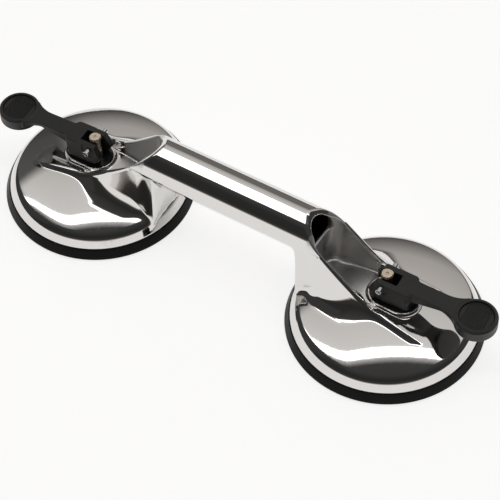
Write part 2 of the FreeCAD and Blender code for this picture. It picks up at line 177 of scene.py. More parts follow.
# levers, in each head's own frame: out from the stem, across, and up from the cross pin
YAW = {"left": 1.05, "right": 2.1}   # how far each lever is turned on its stem, in degrees
PIN_LEN = 23.0
PIN_EDGE = 0.45
STEM_R = 3.7
STEM_EDGE = 0.6
STEM_RADII = [0.2, 0.3, 0.3, 0.1, 0.1]
MARK_R, MARK_FLOOR_R, MARK_SIDE, MARK_DEPTH = 1.0, 0.5, 0.35, 0.45   # the lathe's centre mark
LEVER_Y = 8.2
LEVER_EDGE = 0.6
CAM_START = 11.5                 # the cam's distance from the pin at rest, and its fall per radian
CAM_FALL = 3.2 / math.radians(90)
CAM_END = math.radians(75)
CAM_RUNS = 12
# the lever's side view and half its plan view, from the cam round over the top
FRONT = (-3.9, 3.2)
TOP_START, TOP_END = (-3.2, 3.75), (51.0, 1.25)
UNDER = [(51.0, -5.2), (44.5, -2.6), (38.0, -1.0), (33.0, -1.6), (24.0, -3.4), (19.0, -4.6)]
HEEL = [(19.0, -4.6), (15.6, -7.2), (18.6, -10.6)]
TOE = (17.8, -11.5)
FORK_END = [(15.6, 8.2), (16.9, 7.4), (17.9, 5.9), (19.6, 5.5)]
FLARE = [(36.0, 5.5), (42.5, 6.6), (48.0, 9.6)]
SLOT_Y, SLOT_END = 4.0, 8.0
SLOT_R, SLOT_EDGE = 0.4, 0.45
SPOT_R, SPOT_DEPTH, SPOT_EDGE = 5.0, 0.5, 0.15
PIN_ROOM = 0.05
PAD_OUT, PAD_R, PAD_TOP, PAD_T = 57.0, 12.7, 1.1, 7.8
PAD_EDGE, PAD_FILLET = 0.9, 1.0
RING_R, RING_HALF, RING_TOP = 11.1, 0.85, 1.75
RING_EDGE, RING_FILLET = 0.4, 0.15
RECESS_ROOM, RECESS_EDGE = 0.05, 0.3
INSERT_R, INSERT_TOP, INSERT_T, INSERT_EDGE = 10.0, 0.8, 1.4, 0.25
RIB_COUNT, RIB_PITCH, RIB_GAP, RIB_DEPTH, RIB_HALF = 11, 1.35, 0.62, 0.5, 9.3
RIB_EDGE = 0.12

FLANK = np.array([FLANK_TOP_Z - RIM_Z, RIM_R - FLANK_TOP_R])
FLANK_N = FLANK / np.hypot(*FLANK)
# the shoulder's arc is tangent to the flank at its top and to the dome
RISE = np.array([FLANK_TOP_R, FLANK_TOP_Z - DOME_CENTRE_Z])
SHOULDER = (DOME_ARC ** 2 - RISE @ RISE) / (2 * (DOME_ARC - RISE @ FLANK_N))
SHOULDER_R, SHOULDER_Z = FLANK_TOP_R - SHOULDER * FLANK_N[0], FLANK_TOP_Z - SHOULDER * FLANK_N[1]


# ---- distance-field tools --------------------------------------------------------------------
def round_both(a, b, r):
    """The two solids' common part, with its edge rounded by r."""
    return np.minimum(-r, np.maximum(a, b)) + np.hypot(np.maximum(r + a, 0), np.maximum(r + b, 0))


def smooth_union(a, b, k):
    """The two solids together, with a fillet about k wide."""
    h = np.clip(0.5 + 0.5 * (b - a) / k, 0, 1)
    return b + (a - b) * h - k * h * (1 - h)


def smooth_both(a, b, k):
    return -smooth_union(-a, -b, k)


def step(a, b, x):
    """0 at a and 1 at b, with a smooth change between."""
    t = np.clip((x - a) / (b - a), 0, 1)
    return t * t * (3 - 2 * t)


def two_arcs(y, z, r, r_top, rise):
    """Distance to the hull of a circle at the origin and a smaller one above it."""
    sin_tilt_up = (r - r_top) / rise
    flat = math.sqrt(1 - sin_tilt_up ** 2)
    along = z * flat - y * sin_tilt_up
    side = y * flat + z * sin_tilt_up - r
    low = np.hypot(y, z) - r
    top = np.hypot(y, z - rise) - r_top
    return np.where(along < 0, low, np.where(along > flat * rise, top, side))


def curve(xs, ys, degree):
    """A polynomial through the points, or near them; beyond its ends it stays level."""
    mid, half = (xs[0] + xs[-1]) / 2, (xs[-1] - xs[0]) / 2
    factors = np.polynomial.polynomial.polyfit((np.array(xs) - mid) / half, ys, degree)
    fit = np.polynomial.Polynomial(factors)
    return lambda x: fit(np.clip((x - mid) / half, -1.0, 1.0))


lip_z = curve(LIP_X, LIP_Z, LIP_DEGREE)
lip_y = curve(LIP_X, LIP_Y, LIP_DEGREE)
crease_y = curve(CREASE_X, CREASE_Y, CREASE_DEGREE)
crease_z = curve(CREASE_X, CREASE_Z, CREASE_DEGREE)


def outline_distance(p, q, outline):
    """Distance to a closed outline of straight runs, negative inside."""
    best = np.full(p.shape, 1e9)
    inside = np.zeros(p.shape, bool)
    for (a, b), (c, d) in zip(outline, outline[1:] + outline[:1]):
        run, rise = c - a, d - b
        t = np.clip(((p - a) * run + (q - b) * rise) / (run * run + rise * rise), 0, 1)
        best = np.minimum(best, (p - a - t * run) ** 2 + (q - b - t * rise) ** 2)
        if b != d:
            inside ^= ((b > q) != (d > q)) & (p < a + (q - b) * run / rise)
    return np.where(inside, -1, 1) * np.sqrt(best)


def three_point_arc(a, m, b, steps=8):
    """Points on the arc from a through m to b."""
    (ax, ay), (mx, my), (bx, by) = a, m, b
    turn = 2 * (ax * (my - by) + mx * (by - ay) + bx * (ay - my))
    sa, sm, sb = ax * ax + ay * ay, mx * mx + my * my, bx * bx + by * by
    cx = (sa * (my - by) + sm * (by - ay) + sb * (ay - my)) / turn
    cy = (sa * (bx - mx) + sm * (ax - bx) + sb * (mx - ax)) / turn
    start, mid, end = (math.atan2(y - cy, x - cx) for x, y in (a, m, b))
    full = 2 * math.pi
    sweep = (end - start) % full
    if (mid - start) % full > sweep:
        sweep -= full
    r = math.hypot(ax - cx, ay - cy)
    return [(cx + r * math.cos(start + sweep * i / steps), cy + r * math.sin(start + sweep * i / steps))
            for i in range(steps + 1)]


def spline(points, steps=5):
    """A smooth line through the points."""
    p = [np.array(q) for q in [points[0]] + list(points) + [points[-1]]]
    result = []
    for a, b, c, d in zip(p, p[1:], p[2:], p[3:]):
        for i in range(steps):
            t = i / steps
            q = 0.5 * (2 * b + (c - a) * t + (2 * a - 5 * b + 4 * c - d) * t ** 2
                       + (3 * b - a - 3 * c + d) * t ** 3)
            result.append((float(q[0]), float(q[1])))
    return result + [tuple(points[-1])]


def surface_net(field, lo, hi, h, symmetric=(False, False)):
    """Quads on the zero surface of a distance field, with every point moved onto the surface.
    Where the field is symmetric about a plane, only one half of the grid is worked out."""
    axes = []
    for i in range(3):
        n = int(math.ceil((hi[i] - lo[i]) / h))
        if i < 2 and symmetric[i]:
            half = int(math.ceil(hi[i] / h))
            axes.append((np.arange(-half, half + 1)) * h)
        else:
            axes.append(lo[i] + h * np.arange(n + 1))
    kept = [a[a >= -h * 0.01] if i < 2 and symmetric[i] else a for i, a in enumerate(axes)]
    grid = np.empty([len(a) for a in kept], np.float32)
    for i, x in enumerate(kept[0]):
        yy, zz = np.meshgrid(kept[1], kept[2], indexing="ij")
        grid[i] = field(np.full_like(yy, x), yy, zz)
    for i in (0, 1):
        if symmetric[i]:
            grid = np.concatenate([np.flip(grid, i).take(range(grid.shape[i] - 1), i), grid], i)
    inside = grid < 0
    shape = np.array(grid.shape) - 1
    quads = []
    size = int(np.prod(shape))
    sums = np.zeros((3, size))
    hits = np.zeros(size, np.int32)
    strides = np.array([shape[1] * shape[2], shape[2], 1])
    for axis in range(3):
        others = [a for a in range(3) if a != axis]
        low = [slice(None)] * 3
        high = [slice(None)] * 3
        low[axis] = slice(0, -1)
        high[axis] = slice(1, None)
        for a in others:
            low[a] = slice(1, -1)
            high[a] = slice(1, -1)
        a_in, b_in = inside[tuple(low)], inside[tuple(high)]
        where = np.argwhere(a_in != b_in)
        for a in others:
            where[:, a] += 1
        end = where.copy()
        end[:, axis] += 1
        fa = grid[tuple(where.T)]
        fb = grid[tuple(end.T)]
        t = fa / (fa - fb)
        point = where.astype(float)
        point[:, axis] += t
        cells = []
        for da, db in ((0, 0), (-1, 0), (-1, -1), (0, -1)):
            c = where.copy()
            c[:, others[0]] += da
            c[:, others[1]] += db
            flat = c @ strides
            cells.append(flat)
            for k in range(3):
                sums[k] += np.bincount(flat, point[:, k], size)
            hits += np.bincount(flat, minlength=size).astype(np.int32)
        quad = np.stack(cells, 1)
        flip = (fa < 0) == (axis != 1)
        quad[~flip] = quad[~flip][:, ::-1]
        quads.append(quad)
    used = np.flatnonzero(hits)
    index = np.full(size, -1, np.int64)
    index[used] = np.arange(len(used))
    start = np.array([a[0] for a in axes])
    points = (sums[:, used] / hits[used]).T * h + start
    for _ in range(SETTLE_STEPS):
        value, slope = value_and_slope(field, points)
        move = (value / np.maximum((slope ** 2).sum(1), LEAST_SLOPE))[:, None] * slope
        length = np.linalg.norm(move, axis=1, keepdims=True)
        points -= move * np.minimum(1, LONGEST_MOVE * h / np.maximum(length, 1e-9))
    _, slope = value_and_slope(field, points)
    normals = slope / np.linalg.norm(slope, axis=1, keepdims=True)
    return points, index[np.concatenate(quads)], normals


def value_and_slope(field, points, e=0.04):
    x, y, z = points.T
    value = field(x, y, z)
    slope = np.stack([field(x + e, y, z) - field(x - e, y, z), field(x, y + e, z) - field(x, y - e, z),
                      field(x, y, z + e) - field(x, y, z - e)], 1) / (2 * e)
    return value, slope


# ---- mesh tools ------------------------------------------------------------------------------
def add_object(name, mesh, body, slot_name, material, *nodes):
    obj = bpy.data.objects.new(name, mesh)
    bpy.context.scene.collection.objects.link(obj)
    obj.data.materials.clear()
    obj.data.materials.append(material)
    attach(obj, body)
    if nodes:
        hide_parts(*nodes)
    return obj


def mesh_from(name, points, faces, normals=None, smooth=True):
    mesh = bpy.data.meshes.new(name)
    mesh.from_pydata((np.asarray(points) * MM).tolist(), [], [list(map(int, f)) for f in faces])
    mesh.update()
    mesh.polygons.foreach_set("use_smooth", [smooth] * len(mesh.polygons))
    if normals is not None:
        mesh.normals_split_custom_set_from_vertices(np.asarray(normals, float).tolist())
    return mesh


def lathe(profile, centre, segments=128):
    """Points and quads of an r-z outline turned about a vertical axis; both ends are on the axis."""
    points, faces = [], []
    rings = profile[1:-1]
    points.append((centre[0], centre[1], profile[0][1]))
    for r, z in rings:
        for i in range(segments):
            a = 2 * math.pi * i / segments
            points.append((centre[0] + r * math.cos(a), centre[1] + r * math.sin(a), z))
    points.append((centre[0], centre[1], profile[-1][1]))
    last = len(points) - 1
    for i in range(segments):
        j = (i + 1) % segments
        faces.append((0, 1 + j, 1 + i))
        for k in range(len(rings) - 1):
            a = 1 + k * segments
            b = a + segments
            faces.append((a + i, a + j, b + j, b + i))
        a = 1 + (len(rings) - 1) * segments
        faces.append((a + i, a + j, last))
    return points, faces


def rounded(outline, radii, steps=5):
    """An r-z outline with each inner corner rounded by its radius."""
    result = [outline[0]]
    for before, corner, after, r in zip(outline, outline[1:], outline[2:], radii):
        if r <= 0:
            result.append(corner)
            continue
        p, a, b = Vector(corner), Vector(before), Vector(after)
        da, db = (a - p).normalized(), (b - p).normalized()
        angle = da.angle(db)
        cut = min(r / math.tan(angle / 2), (a - p).length * 0.49, (b - p).length * 0.49)
        start, end = p + da * cut, p + db * cut
        for i in range(steps + 1):
            t = i / steps
            q = start * (1 - t) ** 2 + p * (2 * t * (1 - t)) + end * t ** 2
            result.append((q.x, q.y))
    result.append(outline[-1])
    return result


# ---- materials -------------------------------------------------------------------------------
class Nodes:
    """Short ways to build a node tree."""

    def __init__(self, name):
        self.material = bpy.data.materials.new(name)
        self.material.use_nodes = True
        self.tree = self.material.node_tree
        self.shader = self.tree.nodes["Principled BSDF"]

    def add(self, kind, inputs=None, **props):
        node = self.tree.nodes.new(kind)
        for key, value in props.items():
            setattr(node, key, value)
        for key, value in (inputs or {}).items():
            if isinstance(value, bpy.types.NodeSocket):
                self.tree.links.new(value, node.inputs[key])
            else:
                node.inputs[key].default_value = value
        return node

    def set(self, **values):
        for key, value in values.items():
            socket = self.shader.inputs[key.replace("_", " ")]
            if isinstance(value, bpy.types.NodeSocket):
                self.tree.links.new(value, socket)
            else:
                socket.default_value = value

    def noise(self, scale, detail=2.0, vector=None):
        inputs = {"Scale": scale, "Detail": detail}
        if vector is not None:
            inputs["Vector"] = vector
        return self.add("ShaderNodeTexNoise", inputs).outputs["Fac"]

    def remap(self, value, low, high, start=0.0, end=1.0):
        inputs = {"Value": value, "From Min": start, "From Max": end, "To Min": low, "To Max": high}
        return self.add("ShaderNodeMapRange", inputs).outputs["Result"]

    def mix(self, factor, a, b):
        node = self.add("ShaderNodeMix", data_type="RGBA")
        for socket, value in ((node.inputs[0], factor), (node.inputs[6], a), (node.inputs[7], b)):
            if isinstance(value, bpy.types.NodeSocket):
                self.tree.links.new(value, socket)
            else:
                socket.default_value = value
        return node.outputs[2]

    def bump(self, height, distance, strength=1.0, normal=None):
        inputs = {"Height": height, "Distance": distance, "Strength": strength}
        if normal is not None:
            inputs["Normal"] = normal
        return self.add("ShaderNodeBump", inputs).outputs["Normal"]

    def place(self, scale=(1, 1, 1)):
        coords = self.add("ShaderNodeTexCoord").outputs["Object"]
        return self.add("ShaderNodeMapping", {"Vector": coords, "Scale": scale}).outputs["Vector"]


def grey(v, warm=0.0):
    return (v * (1 + warm), v, v * (1 - warm), 1.0)


# Textures are in metres: a noise's scale is per metre, and a bump's height is a length.
NOISE_SPAN = (0.3, 0.7)   # nearly all of a noise's values

# where no wheel reaches, in mm: each pair of numbers is the start and the end of a fade
SATIN_POCKET_X, SATIN_POCKET_OUT_X, SATIN_POCKET_Y = (56.0, 57.5), (88.5, 91.5), (13.8, 15.0)
SATIN_END_X, SATIN_END_OUT_X, SATIN_END_Z = (44.0, 44.5), (49.0, 50.5), (44.0, 47.0)
SATIN_ROUGHNESS = 0.36


def polished_aluminium():
    """Buffed casting: a mirror with faint waves and scratches, left satin where no wheel reaches."""
    n = Nodes("polished_aluminium")
    place = n.place()
    along = n.add("ShaderNodeSeparateXYZ", {"Vector": place})
    x = n.add("ShaderNodeMath", {0: along.outputs["X"]}, operation="ABSOLUTE").outputs[0]
    y = n.add("ShaderNodeMath", {0: along.outputs["Y"]}, operation="ABSOLUTE").outputs[0]
    z = along.outputs["Z"]

    def past(value, fade):
        return n.remap(value, 0.0, 1.0, fade[0] * MM, fade[1] * MM)

    def before(value, fade):
        return n.remap(value, 1.0, 0.0, fade[0] * MM, fade[1] * MM)

    def all_of(*shares):
        total = shares[0]
        for share in shares[1:]:
            total = n.add("ShaderNodeMath", {0: total, 1: share}, operation="MULTIPLY").outputs[0]
        return total

    pocket = all_of(past(x, SATIN_POCKET_X), before(x, SATIN_POCKET_OUT_X), before(y, SATIN_POCKET_Y))
    end_wall = all_of(past(x, SATIN_END_X), before(x, SATIN_END_OUT_X), before(z, SATIN_END_Z))
    satin = n.add("ShaderNodeMath", {0: pocket, 1: end_wall}, operation="MAXIMUM").outputs[0]
    waves = n.noise(55.0, 2.0, place)
    scratches = n.noise(900.0, 3.0, n.place((1, 0.12, 1)))
    grain = n.noise(2400.0, 2.0, place)
    cloud = n.noise(30.0, 4.0, place)
    colour = n.mix(cloud, grey(0.68, 0.025), grey(0.72, 0.025))
    colour = n.mix(pocket, colour, grey(0.62, 0.02))
    polish = n.remap(scratches, 0.03, 0.07, *NOISE_SPAN)
    rough = n.add("ShaderNodeMix", {0: satin, 2: polish, 3: SATIN_ROUGHNESS}).outputs[0]
    height = n.add("ShaderNodeMix", {0: satin, 2: waves, 3: grain}).outputs[0]
    fine = n.bump(scratches, 0.000012, 0.3)
    n.set(Metallic=1.0, Base_Color=colour, Roughness=rough, Normal=n.bump(height, 0.00008, 0.3, fine))
    return n.material


def moulded_rubber():
    n = Nodes("moulded_rubber")
    place = n.place()
    grain = n.noise(2600.0, 2.0, place)
    dust = n.noise(70.0, 5.0, place)
    n.set(Base_Color=n.mix(dust, grey(0.0035), grey(0.008, 0.02)), Specular_IOR_Level=0.12,
          Roughness=n.remap(dust, 0.34, 0.50, *NOISE_SPAN), Normal=n.bump(grain, 0.00004, 0.4))
    return n.material


def grained_plastic(name, value):
    n = Nodes(name)
    place = n.place()
    grain = n.add("ShaderNodeTexVoronoi", {"Vector": place, "Scale": 2600.0}).outputs["Distance"]
    cloud = n.noise(160.0, 5.0, place)
    n.set(Base_Color=n.mix(cloud, grey(value * 0.85, 0.03), grey(value * 1.15, 0.03)),
          Specular_IOR_Level=0.45, Roughness=n.remap(cloud, 0.40, 0.52, *NOISE_SPAN),
          Normal=n.bump(grain, 0.00005, 0.35))
    return n.material


def smooth_black():
    n = Nodes("smooth_black")
    cloud = n.noise(200.0, 3.0, n.place())
    n.set(Base_Color=n.mix(cloud, grey(0.008), grey(0.014)),
          Roughness=n.remap(cloud, 0.22, 0.36, *NOISE_SPAN))
    return n.material


def turned_metal(name, colour, low, high, rings=4200.0):
    n = Nodes(name)
    place = n.place()
    lines = n.add("ShaderNodeTexWave", {"Vector": place, "Scale": rings, "Distortion": 0.6},
                  wave_type="RINGS", rings_direction="Z").outputs["Fac"]
    cloud = n.noise(300.0, 4.0, place)
    darker = tuple(c * 0.86 for c in colour[:3]) + (1.0,)
    n.set(Metallic=1.0, Base_Color=n.mix(cloud, darker, colour),
          Roughness=n.remap(cloud, low, high, *NOISE_SPAN), Normal=n.bump(lines, 0.00001, 0.3))
    return n.material


MATERIALS = {
    "polished_aluminium": polished_aluminium(),
    "disc_rubber": moulded_rubber(),
    "lever_plastic": grained_plastic("lever_plastic", 0.019),
    "insert_plastic": grained_plastic("insert_plastic", 0.015),
    "wear_plastic": smooth_black(),
    "stem_brass": turned_metal("stem_brass", (0.80, 0.69, 0.53, 1.0), 0.18, 0.30),
    "pin_steel": turned_metal("pin_steel", (0.66, 0.66, 0.65, 1.0), 0.12, 0.24),
    "plain_steel": turned_metal("plain_steel", (0.55, 0.55, 0.56, 1.0), 0.28, 0.42),
    "spring_steel": turned_metal("spring_steel", (0.40, 0.40, 0.41, 1.0), 0.25, 0.40),
    "bush_bronze": turned_metal("bush_bronze", (0.60, 0.44, 0.27, 1.0), 0.30, 0.45),
}


# ---- casting ---------------------------------------------------------------------------------
def casting_field(x, y, z):
    x, y = np.abs(x), np.abs(y)
    u = x - HEAD_X
    r = np.hypot(u, y)
    dome = np.hypot(r, z - DOME_CENTRE_Z) - DOME_ARC
    flank = (r - RIM_R) * FLANK_N[0] + (z - RIM_Z) * FLANK_N[1]
    lean = np.arctan2(r - SHOULDER_R, z - SHOULDER_Z)
    shoulder = np.hypot(r - SHOULDER_R, z - SHOULDER_Z) - SHOULDER
    head = np.where(lean < math.atan2(SHOULDER_R, SHOULDER_Z - DOME_CENTRE_Z), dome,
                    np.where(lean < math.atan2(*FLANK_N), shoulder, flank))

    # the bar and the webs share one section: leaning sides, under a round top near the bar
    on_dome = DOME_CENTRE_Z + np.sqrt(np.maximum(DOME_ARC ** 2 - r ** 2, 0))
    below = np.maximum(BAR_LEAN_Z - z, 0)
    bar_y = BAR_R - BAR_LEAN * below
    end_y = BAR_R + WEB_SLOPE * below
    lip = lip_z(x) + np.maximum(LIP_X[0] - x, 0) - LIP_END_SLOPE * np.maximum(x - LIP_X[-1], 0)
    facet_slope = (crease_y(x) - lip_y(x)) / np.maximum(lip - crease_z(x), LEAST_DROP)
    facet_y = lip_y(x) + facet_slope * (lip - np.maximum(z, crease_z(x) - FACET_DEPTH))
    facet_share = step(FACET_START_X, FACET_FULL_X, x)
    web_y = end_y + (facet_y - end_y) * facet_share
    side_y = bar_y + (web_y - bar_y) * step(WEB_START_X, WEB_FULL_X, x)
    sides = (y - side_y) / np.sqrt(1 + (facet_slope * facet_share) ** 2)
    top = two_arcs(y, z - BAR_Z, BAR_R, CREST_R, CREST_Z - BAR_Z)
    section = np.where((z > BAR_Z) & (x < ROUND_END_X), top, sides)
    underside = BAR_BELOW_Z - DROP * step(DROP_START_X, DROP_END_X, x)
    section = round_both(section, underside - z, BAR_EDGE)

    # the hand's gap under the bar, between the two heads
    gap = round_both(RIM_R - r, z - BAR_BELOW_Z, GAP_FILLET)
    gap = np.where(u < 0, gap, OUTSIDE)
    body = round_both(section, -gap, GAP_EDGE)
    body = round_both(body, (z - lip) / math.hypot(1, LIP_SLOPE), LIP_EDGE)
    body = round_both(body, x - WEB_END_X, WEB_END_EDGE)

    half = POCKET_Y + POCKET_DRAFT * (z - POCKET_Z)
    half = half + POCKET_FLARE * step(FLARE_START_X, FLARE_FULL_X, x) * np.maximum(z - on_dome, 0)
    wall = round_both(POCKET_X + POCKET_END_DRAFT * (z - POCKET_Z) - x, y - half, POCKET_CORNER_R)
    pocket = round_both(wall, POCKET_Z - z, POCKET_FLOOR_R)
    body = round_both(body, -pocket, POCKET_EDGE)

    wide = FILLET_INNER + (1 - FILLET_INNER) * step(WIDE_START_X, WIDE_FULL_X, x)
    wide = wide * step(WIDE_GONE_X, WIDE_LAST_X, x) * step(WIDE_IN_Y, WIDE_OUT_Y, y - lip_y(x))
    fillet = FILLET + (FILLET_WIDE - FILLET) * wide
    solid = smooth_union(body, head, fillet)
    solid = round_both(solid, RIM_Z - z, RIM_EDGE)

    arch = np.where(z > BORE_Z, np.hypot(y, z - BORE_Z) - BORE_R, y - BORE_R)
    bore = round_both(arch, BORE_FLOOR_Z - z, BORE_FLOOR_R)
    solid = round_both(solid, -np.maximum(bore, x - BORE_END_X), BORE_EDGE)

    hollow = smooth_both(dome + WALL, flank + FLANK_WALL, HOLLOW_FILLET)
    guide = np.maximum(r - BUSH_R - GUIDE_WALL, BUSH_LO[2] - z)
    hollow = smooth_both(hollow, -guide, HOLLOW_FILLET)
    solid = round_both(solid, -hollow, HOLLOW_EDGE)

    # the boss under the lever's foot, with the wear plate's seat
    out = np.hypot(u - np.clip(u, 0, BOSS_LEN), y)
    boss = np.maximum(round_both(out - BOSS_Y, z - BOSS_Z, BOSS_EDGE), BOSS_LOW_Z - z)
    solid = smooth_union(solid, boss, BOSS_FILLET)
    seat = np.maximum(out - PLATE_Y - SEAT_ROOM, PLATE_LO[2] - SEAT_DEEPER - z)
    hole = np.maximum(r - BUSH_R + HOLE_IN, BUSH_LO[2] - HOLE_BELOW - z)
    return np.maximum(round_both(solid, -seat, SEAT_EDGE), -hole)


def make_casting():
    grid = CASTING_GRID
    points, faces, normals = surface_net(casting_field, CAST_LO - CASTING_MARGIN,
                                         CAST_HI + CASTING_MARGIN, grid, (True, True))
    mesh = mesh_from("casting", points, faces, normals)
    add_object("casting", mesh, "housing", "polished_aluminium", MATERIALS["polished_aluminium"],
               "housing")


# ---- levers, stems and pins ------------------------------------------------------------------
def lever_side():
    cam = []
    for i in range(CAM_RUNS + 1):
        a = CAM_END * i / CAM_RUNS
        s = CAM_START - CAM_FALL * a
        cam.append((-s * math.sin(a) + CAM_FALL * math.cos(a), -s * math.cos(a) - CAM_FALL * math.sin(a)))
    return cam + [FRONT, TOP_START, TOP_END] + spline(UNDER) + three_point_arc(*HEEL)[1:] + [TOE]


def lever_plan():
    beyond = -2 * LEVER_Y
    return ([(beyond, -LEVER_Y), (beyond, LEVER_Y)] + spline(FORK_END) + three_point_arc(*FLARE)
            + [(PAD_OUT, FLARE[-1][1]), (PAD_OUT, -LEVER_Y)])


LEVER_SIDE = lever_side()
LEVER_PLAN = lever_plan()


def lever_field(u, v, w):
    v = np.abs(v)
    side = outline_distance(u, w, LEVER_SIDE)
    plan = outline_distance(u, v, LEVER_PLAN)
    body = round_both(side, plan, LEVER_EDGE)
    r = np.hypot(u - PAD_OUT, v)
    pad = round_both(r - PAD_R, np.abs(w - PAD_TOP + PAD_T / 2) - PAD_T / 2, PAD_EDGE)
    ring = np.maximum(round_both(np.abs(r - RING_R) - RING_HALF, w - RING_TOP, RING_EDGE), -w)
    body = smooth_union(body, pad, PAD_FILLET)
    body = smooth_union(body, ring, RING_FILLET)
    recess = np.maximum(r - INSERT_R - RECESS_ROOM, INSERT_TOP - INSERT_T - w)
    body = round_both(body, -recess, RECESS_EDGE)
    slot = round_both(v - SLOT_Y, u - SLOT_END, SLOT_R)
    body = round_both(body, -slot, SLOT_EDGE)
    spot = np.maximum(np.hypot(u, w) - SPOT_R, LEVER_Y - SPOT_DEPTH - v)
    body = round_both(body, -spot, SPOT_EDGE)
    return np.maximum(body, PIN_R + PIN_ROOM - np.hypot(u, w))


def insert_field(u, v, w):
    r = np.hypot(u - PAD_OUT, v)
    disc = round_both(r - INSERT_R, w - INSERT_TOP, INSERT_EDGE)
    disc = np.maximum(disc, INSERT_TOP - INSERT_T - w)
    nearest = np.round((u - PAD_OUT) / RIB_PITCH)
    nearest = np.clip(nearest, -(RIB_COUNT - 1) / 2, (RIB_COUNT - 1) / 2)
    groove = np.abs(u - PAD_OUT - nearest * RIB_PITCH) - RIB_GAP / 2
    groove = np.maximum(np.maximum(groove, INSERT_TOP - RIB_DEPTH - w), r - RIB_HALF)
    return round_both(disc, -groove, RIB_EDGE)


def on_head(points, side, turned=True):
    """Points of a head's own frame, with heights from the pin, in the row's frame."""
    points = np.array(points, float)
    yaw = math.radians(YAW[side]) if turned else 0.0
    if side == "left":
        yaw += math.pi
    c, s = math.cos(yaw), math.sin(yaw)
    centre = HEAD_X if side == "right" else -HEAD_X
    x = points[:, 0] * c - points[:, 1] * s + centre
    y = points[:, 0] * s + points[:, 1] * c
    return np.stack([x, y, points[:, 2] + PIN_Z], 1)


def turn_only(vectors, side):
    return on_head(vectors, side) - on_head([[0, 0, 0]], side)


def make_levers():
    grid = LEVER_GRID
    points, faces, normals = surface_net(lever_field, *LEVER_FIELD_BOX, grid, (False, True))
    rib_points, rib_faces, rib_normals = surface_net(insert_field, *INSERT_FIELD_BOX, INSERT_GRID,
                                                     (False, True))
    for side in YAW:
        body = side + "_lever_unit"
        mesh = mesh_from(side + "_lever_arm", on_head(points, side), faces, turn_only(normals, side))
        add_object(side + "_lever_arm", mesh, body, "lever_plastic", MATERIALS["lever_plastic"],
                   side + "_lever")
        mesh = mesh_from(side + "_ribbed_insert", on_head(rib_points, side), rib_faces,
                         turn_only(rib_normals, side))
        add_object(side + "_ribbed_insert", mesh, body, "insert_plastic", MATERIALS["insert_plastic"],
                   side + "_thumb_insert")


def make_stems():
    low, top = STEM_LO[2] - PIN_Z, STEM_HI[2] - PIN_Z
    outline = [(0, low), (STEM_R, low), (STEM_R, top - STEM_EDGE), (STEM_R - STEM_EDGE, top),
               (MARK_R, top), (MARK_FLOOR_R, top - MARK_SIDE), (0, top - MARK_DEPTH)]
    profile = rounded(outline, STEM_RADII)
    half = PIN_LEN / 2
    pin_profile = rounded([(0, -half), (PIN_R, -half), (PIN_R, half), (0, half)], [PIN_EDGE, PIN_EDGE])
    for side in YAW:
        body = side + "_stem_unit"
        points, faces = lathe(profile, (0, 0), 96)
        mesh = mesh_from(side + "_turned_stem", on_head(points, side), faces)
        add_object(side + "_turned_stem", mesh, body, "stem_brass", MATERIALS["stem_brass"],
                   side + "_stem")
        points, faces = lathe(pin_profile, (0, 0), 64)
        points = [(x, z, -y) for x, y, z in points]
        mesh = mesh_from(side + "_ground_pin", on_head(points, side), faces)
        add_object(side + "_ground_pin", mesh, body, "pin_steel", MATERIALS["pin_steel"],
                   side + "_cross_pin")


# ---- rubber ----------------------------------------------------------------------------------
RECESS_Z = 3.2                   # the drawn-up centre's underside
FACE_R, FACE_RAMP = 46.0, 10.0
FACE_Z = 0.35                    # the face inside the sealing ring
RING_TOP_IN, RING_FOOT_IN = 8.6, 7.6     # the ring's inner side, in from the foot's radius
EDGE_FOOT_IN, EDGE_IN, EDGE_Z = 0.7, 0.05, 1.0
CENTRE_R, BACK_RAMP = 31.0, 8.0
DISC_TOP_R = 57.2
DISC_RADII = [4.0, 3.0, 0.3, 0.3, 0.5, 0.6, 0.5, 3.0, 3.0]
DISC_RUN, DISC_SEGMENTS = 2.5, 192


def make_discs():
    """The moulded disc under each head's rim."""
    foot_r = DISC_HI[0] - HEAD_X
    top_z = DISC_HI[2]
    outline = [(0, RECESS_Z), (FACE_R - FACE_RAMP, RECESS_Z), (FACE_R, FACE_Z),
               (foot_r - RING_TOP_IN, FACE_Z), (foot_r - RING_FOOT_IN, 0.0),
               (foot_r - EDGE_FOOT_IN, 0.0), (foot_r - EDGE_IN, EDGE_Z), (DISC_TOP_R, RIM_Z),
               (CENTRE_R + BACK_RAMP, RIM_Z), (CENTRE_R, top_z), (0, top_z)]
    profile = refined(rounded(outline, DISC_RADII), DISC_RUN)
    for side, centre in (("left", -HEAD_X), ("right", HEAD_X)):
        points, faces = lathe(profile, (centre, 0), DISC_SEGMENTS)
        name = side + "_moulded_disc"
        disc = add_object(name, mesh_from(name, points, faces), "housing", "disc_rubber",
                          MATERIALS["disc_rubber"], side + "_suction_disc")
        let_go(disc)


def refined(profile, longest):
    """The same outline with its long runs divided."""
    result = [profile[0]]
    for a, b in zip(profile, profile[1:]):
        count = max(1, math.ceil(math.dist(a, b) / longest))
        result += [(a[0] + (b[0] - a[0]) * i / count, a[1] + (b[1] - a[1]) * i / count)
                   for i in range(1, count + 1)]
    return result


def let_go(piece):
    """Unparents the piece and bakes its transform into its mesh."""
    piece.parent = None
    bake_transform(piece)


make_casting()
make_levers()
make_stems()
make_discs()

for name, slot_name in [(r["node"], r["material_slot"]) for r in frame["record"]["subparts"]]:
    node = frame["nodes"][name]
    node.data.materials.clear()
    node.data.materials.append(MATERIALS[slot_name])


# ---- floor, light, camera --------------------------------------------------------------------
FLOOR_HALF = 12.0                # metres
FLOOR_GLOW = 0.76
CAMERA_AZIMUTH, CAMERA_ELEVATION, CAMERA_ROLL = 33.91, 52.21, -2.54
CAMERA_TARGET = (5.35, 4.17, 0.0)
CAMERA_DISTANCE = 1165.5
CAMERA_LENS, CAMERA_SENSOR = 136.85, 36.0
